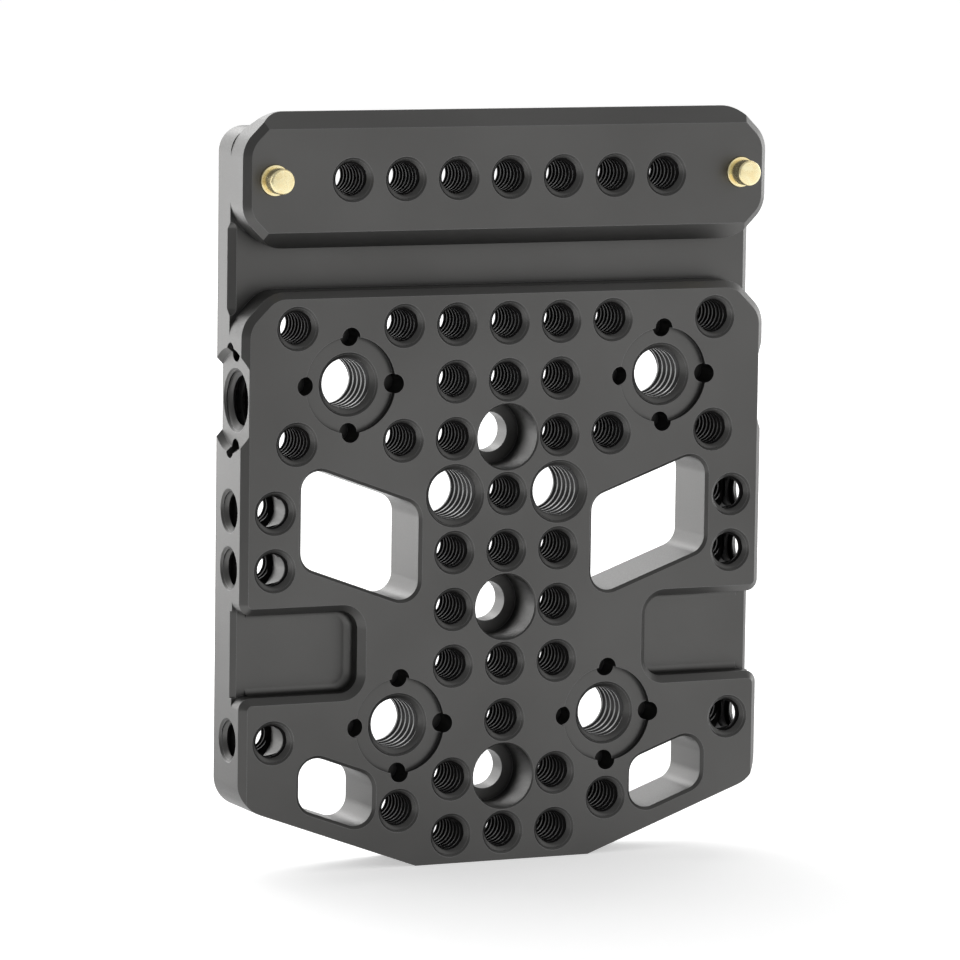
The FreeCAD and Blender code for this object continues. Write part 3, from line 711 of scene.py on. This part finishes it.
@dataclass(frozen=True)
class TappedHoles:
    """Every thread in the plate."""

    layout: HoleLayout
    plate_finish: bpy.types.Material
    # near-black thread finishes that paint the shade inside the holes
    fine_thread_shade: bpy.types.Material
    coarse_thread_shade: bpy.types.Material
    small_mouth: float = 3.5 * MM
    large_mouth: float = 5.05 * MM
    side_hole_end: float = 5.5 * MM
    side_mount_end: float = 4.8 * MM
    back_gap: float = 0.02 * MM

    def from_face(self, places: list[tuple[float, float]], depth: float = 0.0) -> list[Matrix]:
        """Places of holes that run into the plate from its face.

        Args:
            places: each hole as (across, up).
            depth: how far behind the face they start.

        Returns:
            One matrix for each hole.
        """
        start = depth - self.layout.half_depth
        turn = Matrix.Rotation(-math.pi / 2, 4, "X")
        return [Matrix.Translation((across, start, up)) @ turn for across, up in places]

    def from_side(self, side: Side, heights: list[float], depth: float = 0.0) -> list[Matrix]:
        """Places of holes that run in from one side of the plate.

        Args:
            side: the side that they start from.
            heights: their heights.
            depth: how far inside the side face they start.

        Returns:
            One matrix for each hole.
        """
        start = side.value * (self.layout.half_width - depth)
        turn = Matrix.Rotation(-side.value * math.pi / 2, 4, "Y")
        return [Matrix.Translation((start, 0, up)) @ turn for up in heights]

    def small_thread(self, bottom: float) -> bpy.types.Mesh:
        """Makes a 1/4 inch thread that ends at a depth."""
        form = ThreadForm.QUARTER_20
        return Thread(form, self.small_mouth, bottom, self.fine_thread_shade, self.plate_finish).build()

    def large_thread(self, bottom: float) -> bpy.types.Mesh:
        """Makes a 3/8 inch thread that ends at a depth."""
        form = ThreadForm.THREE_EIGHTHS_16
        return Thread(form, self.large_mouth, bottom, self.coarse_thread_shade, self.plate_finish).build()

    def piece(self, name: str, mesh: bpy.types.Mesh, places: list[Matrix]) -> None:
        """Puts one thread in each place and makes them one piece.

        Args:
            name: the piece's name.
            mesh: the thread.
            places: where it goes.
        """
        bm = bmesh.new()
        for place in places:
            known = len(bm.verts)
            bm.from_mesh(mesh)
            bm.verts.ensure_lookup_table()
            bmesh.ops.transform(bm, matrix=place, verts=bm.verts[known:])
        thread_shade_finish, mouth_finish = mesh.materials
        threads = finish_piece(bm, name, thread_shade_finish, PLATE_BODY)
        threads.data.materials.append(mouth_finish)

    def build(self) -> None:
        """Makes the threads of the grid, the rail, the edges, the sides and the mounts."""
        layout = self.layout
        thickness = 2 * layout.half_depth - self.back_gap
        small = self.small_thread(thickness)
        rail = [(layout.pitch * step, layout.rail_height) for step in layout.RAIL]
        for name, places in (
            ("threads_upper_grid", layout.grid(layout.UPPER)),
            ("threads_lower_grid", layout.grid(layout.LOWER)),
            ("threads_rail", rail),
        ):
            self.piece(name, small, self.from_face(places))

        large = self.large_thread(thickness)
        pair = [(layout.pitch * step, layout.row(line)) for step, line in layout.PLAIN_LARGE]
        self.piece("threads_large_pair", large, self.from_face(pair))
        sunk = self.large_thread(thickness - layout.disc_depth)
        mounts = [(layout.pitch * step, layout.row(line)) for step, line in layout.LOCATING]
        self.piece("threads_locating_mounts", sunk, self.from_face(mounts, layout.disc_depth))
        self.build_edges(small)

    def build_edges(self, small: bpy.types.Mesh) -> None:
        """Makes the threads along both edges, open to each other where their holes cross.

        Args:
            small: the thread of a hole right through the plate.
        """
        layout = self.layout
        heights = [layout.row(line) - layout.edge_drop for line in layout.EDGE_ROWS]
        bore = ThreadForm.QUARTER_20.radius
        reach = 3 * bore
        side_small = self.small_thread(self.side_hole_end)
        side_large = self.large_thread(self.side_mount_end)
        crossing = Vector((0, 0, layout.half_width - layout.edge_column))
        across = Vector((0, reach, 0))
        side_small = bore_through(side_small, bore, crossing - across, crossing + across)
        middle = Vector((0, 0, layout.half_depth))
        for side in Side:
            outward = Vector((side.value * reach, 0, 0))
            crossed = bore_through(small, bore, middle - outward, middle + outward)
            column = [(side.value * layout.edge_column, up) for up in heights]
            mount = self.from_side(side, [layout.side_mount_height], layout.disc_depth)
            for name, mesh, places in (
                ("threads_edge", crossed, self.from_face(column)),
                ("threads_side", side_small, self.from_side(side, heights)),
                ("threads_side_mount", side_large, mount),
            ):
                self.piece(f"{name}_{side.word}", mesh, places)


@dataclass(frozen=True)
class PlateSkin:
    """The milled plate with its round walls and corners shaded smoothly."""

    material: bpy.types.Material
    node: str = "plate"
    flat_degrees: float = 0.3
    smooth_degrees: float = 24.0

    def build(self) -> None:
        """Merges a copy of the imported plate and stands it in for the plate."""
        bm = bmesh.new()
        bm.from_mesh(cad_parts[self.node].data)
        bmesh.ops.remove_doubles(bm, verts=bm.verts[:], dist=WELD)
        bmesh.ops.dissolve_limit(
            bm,
            angle_limit=math.radians(self.flat_degrees),
            use_dissolve_boundaries=False,
            verts=bm.verts[:],
            edges=bm.edges[:],
        )
        shade_by_angle(bm, self.smooth_degrees)
        piece = finish_piece(bm, "milled_plate", self.material, PLATE_BODY)
        weighted = piece.modifiers.new("weighted", "WEIGHTED_NORMAL")
        weighted.keep_sharp = True
        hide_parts(self.node)


@dataclass(frozen=True)
class StopPin:
    """A turned brass stop pin with a rounded tip, hollow behind for its spring."""

    side: Side
    material: bpy.types.Material
    tip_radius: float = 2.0 * MM
    tip_rounding: float = 0.4 * MM
    collar_radius: float = 2.4 * MM
    collar_rounding: float = 0.12 * MM
    collar_end: float = 3.1 * MM
    flange_start: float = 5.95 * MM
    hollow_radius: float = 1.65 * MM
    hollow_end: float = 3.55 * MM
    steps: int = 72
    smooth_degrees: float = 24.0

    @property
    def node(self) -> str:
        """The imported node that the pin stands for."""
        return f"stop_pin_{self.side.word}"

    @staticmethod
    def rounding(
        radius: float, along: float, size: float, steps: int = 6
    ) -> list[tuple[float, float]]:
        """A rounded outer edge of the turned profile.

        Args:
            radius: the wall's radius.
            along: where the end face lies.
            size: radius of the rounding.
            steps: how many steps its quarter turn has.

        Returns:
            Points as (radius, distance along the pin).
        """
        turns = [math.radians(90 * step / steps) for step in range(steps + 1)]
        return [
            (radius - size * (1 - math.sin(turn)), along + size * (1 - math.cos(turn)))
            for turn in turns
        ]

    def profile(self, flange_radius: float, length: float) -> list[tuple[float, float]]:
        """The pin's section, from the middle of its tip to the middle of its hollow.

        Args:
            flange_radius: radius of the flange.
            length: the whole pin's length.

        Returns:
            Points as (radius, distance behind the tip).
        """
        return [
            (0.0, 0.0),
            *self.rounding(self.tip_radius, 0.0, self.tip_rounding),
            (self.tip_radius, self.collar_end),
            *self.rounding(self.collar_radius, self.collar_end, self.collar_rounding),
            (self.collar_radius, self.flange_start),
            (flange_radius, self.flange_start),
            (flange_radius, length),
            (self.hollow_radius, length),
            (self.hollow_radius, self.hollow_end),
            (0.0, self.hollow_end),
        ]

    def build(self) -> None:
        """Turns the pin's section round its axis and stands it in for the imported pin."""
        low, high = (Vector(corner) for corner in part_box(self.node))
        middle = (low + high) / 2
        bm = bmesh.new()
        section = self.profile((high.x - low.x) / 2, high.y - low.y)
        verts = [
            bm.verts.new((middle.x + radius, low.y + along, middle.z)) for radius, along in section
        ]
        edges = [bm.edges.new(pair) for pair in zip(verts, verts[1:])]
        bmesh.ops.spin(
            bm,
            geom=verts + edges,
            cent=(middle.x, 0, middle.z),
            axis=(0, 1, 0),
            dvec=(0, 0, 0),
            angle=2 * math.pi,
            steps=self.steps,
            use_merge=True,
            use_duplicate=False,
        )
        bmesh.ops.remove_doubles(bm, verts=bm.verts[:], dist=WELD)
        bmesh.ops.recalc_face_normals(bm, faces=bm.faces[:])
        shade_by_angle(bm, self.smooth_degrees)
        name = f"turned_stop_pin_{self.side.word}"
        piece = finish_piece(bm, name, self.material, f"{self.node}_body")
        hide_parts(self.node)


@dataclass(frozen=True)
class CoilSpring:
    """A compression spring of round wire with closed ends, behind a stop pin."""

    side: Side
    material: bpy.types.Material
    wire: float = 0.45 * MM
    active_turns: int = 4
    steps: int = 24
    wire_sides: int = 10
    smooth_degrees: float = 50.0
    travel: float = 3.4 * MM

    def build(self) -> None:
        """Winds the spring in the space that its node holds."""
        node = f"spring_{self.side.word}"
        low, high = (Vector(corner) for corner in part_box(node))
        middle = (low + high) / 2
        coil_radius = (high.x - low.x - self.wire) / 2
        start = low.y + self.wire / 2
        length = high.y - low.y - self.wire
        closed = (1, self.wire)
        working = (self.active_turns, (length - 2 * self.wire) / self.active_turns)

        bm = bmesh.new()
        ring = bmesh.ops.create_circle(
            bm,
            cap_ends=True,
            radius=self.wire / 2,
            segments=self.wire_sides,
            matrix=Matrix.Translation((middle.x + coil_radius, start, middle.z)),
        )
        section = ring["verts"] + bm.faces[:] + bm.edges[:]
        for turns, rise in (closed, working, closed):
            section = bmesh.ops.spin(
                bm,
                geom=section,
                cent=(middle.x, 0, middle.z),
                axis=(0, 1, 0),
                dvec=(0, rise / self.steps, 0),
                angle=2 * math.pi * turns,
                steps=self.steps * turns,
                use_merge=False,
                use_duplicate=False,
            )["geom_last"]
        bmesh.ops.recalc_face_normals(bm, faces=bm.faces[:])
        shade_by_angle(bm, self.smooth_degrees)
        name = f"coil_spring_{self.side.word}"
        piece = finish_piece(bm, name, self.material, PLATE_BODY)
        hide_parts(node)
        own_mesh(piece)


@dataclass(frozen=True)
class SoftBox:
    """A rectangular studio lamp that faces the plate."""

    name: str
    direction: tuple[float, float, float]
    distance: float
    size: tuple[float, float]
    watts: float

    def build(self, target: Vector) -> None:
        """Hangs the lamp.

        Args:
            target: the point that it faces.
        """
        lamp = bpy.data.lights.new(self.name, "AREA")
        lamp.shape = "RECTANGLE"
        lamp.size, lamp.size_y = self.size
        lamp.energy = self.watts
        holder = bpy.data.objects.new(self.name, lamp)
        offset = Vector(self.direction).normalized()
        holder.location = target + offset * self.distance
        holder.rotation_euler = offset.to_track_quat("Z", "Y").to_euler()
        bpy.context.scene.collection.objects.link(holder)


@dataclass(frozen=True)
class Studio:
    """A plain white floor, soft lamps and the camera."""

    target: tuple[float, float, float] = (0.0, 0.0, 60 * MM)
    camera_place: tuple[float, float, float] = (-401.16 * MM, -869.78 * MM, 175.98 * MM)
    camera_forward: tuple[float, float, float] = (0.41387, 0.90236, -0.12021)
    camera_up: tuple[float, float, float] = (0.03767, 0.11496, 0.99266)
    lens: float = 228.75
    sensor_width: float = 36.0
    clip: tuple[float, float] = (0.01, 50.0)
    floor_size: float = 8.0
    floor_colour: Colour = (0.86, 0.86, 0.86)
    floor_roughness: float = 0.9
    dim_direction: tuple[float, float, float] = (-0.90, -0.42, 0.0)
    glow_by_distance: Ends = ((0.05, 0.46), (0.22, 0.62))
    glow_by_side: Ends = ((0.15, 1.0), (0.40, 0.0))
    white_by_side: Ends = ((-0.3, 1.0), (0.9, 0.38))
    white_by_height: Ends = ((0.4, 1.0), (0.95, 0.6))
    fill: float = 0.45

    def build(self) -> None:
        """Builds the whole studio."""
        self.build_camera()
        self.build_floor()
        self.build_world()
        target = Vector(self.target)
        for lamp in (
            SoftBox("lamp_back_left", (-0.41, 0.86, 0.28), distance=0.32, size=(0.42, 0.30), watts=0.78),
            SoftBox("lamp_right", (0.92, 0.32, 0.10), distance=1.2, size=(0.7, 0.9), watts=4.0),
            SoftBox("lamp_top_back", (0.25, 0.75, 0.75), distance=1.3, size=(1.4, 0.7), watts=8.0),
            SoftBox("lamp_front", (0.41, -0.80, 0.35), distance=1.6, size=(1.0, 0.8), watts=1.0),
        ):
            lamp.build(target)
        bpy.context.scene.view_settings.view_transform = "Standard"

    def build_camera(self) -> None:
        """Sets up the camera at the photograph's viewing angle."""
        data = bpy.data.cameras.new("camera")
        data.sensor_width = self.sensor_width
        data.lens = self.lens
        data.clip_start, data.clip_end = self.clip
        camera = bpy.data.objects.new("camera", data)
        back = -Vector(self.camera_forward).normalized()
        right = Vector(self.camera_up).cross(back).normalized()
        up = back.cross(right)
        turn = Matrix((right, up, back)).transposed().to_4x4()
        camera.matrix_world = Matrix.Translation(self.camera_place) @ turn
        bpy.context.scene.collection.objects.link(camera)
        bpy.context.scene.camera = camera

    def seen(self, nodes: NodeTree) -> Socket:
        """A value that is 1 for what the camera, a reflection or glass sees.

        Args:
            nodes: the tree that it is added to.

        Returns:
            The value.
        """
        path = nodes.add("LightPath")
        total = path.outputs["Is Camera Ray"]
        for kind in ("Is Glossy Ray", "Is Transmission Ray"):
            total = nodes.combine("ADD", total, path.outputs[kind], clamp=True)
        return total

    def towards_dim_side(self, nodes: NodeTree, vector: Socket) -> Socket:
        """How far a place or a direction lies towards the dim side of the studio.

        Args:
            nodes: the tree that it is added to.
            vector: the place or direction.

        Returns:
            The distance, or the cosine for a direction.
        """
        turn = nodes.add("VectorMath", operation="DOT_PRODUCT")
        turn.inputs[1].default_value = self.dim_direction
        nodes.link(vector, turn.inputs[0])
        return turn.outputs["Value"]

    def build_floor(self) -> None:
        """Lays a white floor that keeps the plate's shadow, and glows to the eye and in reflections."""
        bm = bmesh.new()
        bmesh.ops.create_grid(bm, x_segments=1, y_segments=1, size=self.floor_size)
        mesh = bpy.data.meshes.new("floor")
        bm.to_mesh(mesh)
        bm.free()
        material, nodes, shader = new_material("white_floor")
        shader.inputs["Base Color"].default_value = (*self.floor_colour, 1.0)
        shader.inputs["Roughness"].default_value = self.floor_roughness
        shader.inputs["Specular IOR Level"].default_value = 0.0
        shader.inputs["Emission Color"].default_value = WHITE
        place = nodes.add("TexCoord").outputs["Object"]
        away = nodes.add("VectorMath", operation="LENGTH")
        nodes.link(place, away.inputs[0])
        spread = nodes.ramp(away.outputs["Value"], *self.glow_by_distance)
        side = nodes.ramp(self.towards_dim_side(nodes, place), *self.glow_by_side)
        level = nodes.combine("MULTIPLY", spread, side)
        glow = nodes.combine("MULTIPLY", self.seen(nodes), level)
        nodes.link(glow, shader.inputs["Emission Strength"])
        mesh.materials.append(material)
        floor = bpy.data.objects.new("floor", mesh)
        bpy.context.scene.collection.objects.link(floor)

    def build_world(self) -> None:
        """Makes the surroundings white behind the plate to look at, and a soft fill as light."""
        world = bpy.data.worlds.new("studio")
        world.use_nodes = True
        nodes = NodeTree(world.node_tree)
        direction = nodes.add("TexCoord").outputs["Generated"]
        side = nodes.ramp(self.towards_dim_side(nodes, direction), *self.white_by_side)
        parts = nodes.add("SeparateXYZ")
        nodes.link(direction, parts.inputs["Vector"])
        above = nodes.ramp(parts.outputs["Z"], *self.white_by_height)
        white = nodes.add("Background")
        white.inputs["Color"].default_value = WHITE
        nodes.link(nodes.combine("MULTIPLY", side, above), white.inputs["Strength"])
        soft = nodes.add("Background")
        soft.inputs["Color"].default_value = WHITE
        soft.inputs["Strength"].default_value = self.fill
        mix = nodes.add("MixShader")
        nodes.link(self.seen(nodes), mix.inputs[0])
        nodes.link(soft.outputs["Background"], mix.inputs[1])
        nodes.link(white.outputs["Background"], mix.inputs[2])
        output = nodes.add("OutputWorld")
        nodes.link(mix.outputs["Shader"], output.inputs["Surface"])
        bpy.context.scene.world = world


def dress_node(node: str, material: bpy.types.Material) -> None:
    """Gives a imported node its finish.

    Args:
        node: the node's name.
        material: its finish.
    """
    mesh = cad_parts[node].data
    mesh.materials.clear()
    mesh.materials.append(material)
    LOG.info("%s: dressed as %s", node, material.name)


def main() -> None:
    """Builds the finishes, the pieces and the studio, in that order."""
    logging.basicConfig(level=logging.INFO, format="%(message)s")
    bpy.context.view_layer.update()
    aluminium = BlastedAluminium().build()
    brass = TurnedBrass().build()
    steel = PlainMetal(
        "drawn_spring_steel",
        dark=(0.42, 0.42, 0.43),
        light=(0.56, 0.56, 0.57),
        smooth=0.25,
        rough=0.40,
    ).build()
    black = PlainMetal(
        "black_oxide_steel",
        dark=(0.022, 0.022, 0.024),
        light=(0.04, 0.04, 0.043),
        smooth=0.40,
        rough=0.55,
    ).build()
    # Near-black thread finishes: painted shade inside the tapped holes.
    fine_thread_shade = PlainMetal(
        "fine_threads_painted_shade",
        dark=(0.005, 0.005, 0.005),
        light=(0.010, 0.009, 0.009),
        smooth=0.45,
        rough=0.60,
        metallic=0.0,
        specular=0.1,
    ).build()
    coarse_thread_shade = PlainMetal(
        "coarse_threads_painted_shade",
        dark=(0.008, 0.008, 0.008),
        light=(0.014, 0.014, 0.014),
        smooth=0.26,
        rough=0.36,
        metallic=0.0,
        specular=0.6,
    ).build()
    PlateSkin(aluminium).build()
    TappedHoles(HoleLayout(), aluminium, fine_thread_shade, coarse_thread_shade).build()
    for side in Side:
        StopPin(side, brass).build()
        CoilSpring(side, steel).build()
        dress_node(f"cap_screw_{side.word}", black)
    Studio().build()


if __name__ == "__main__":
    main()
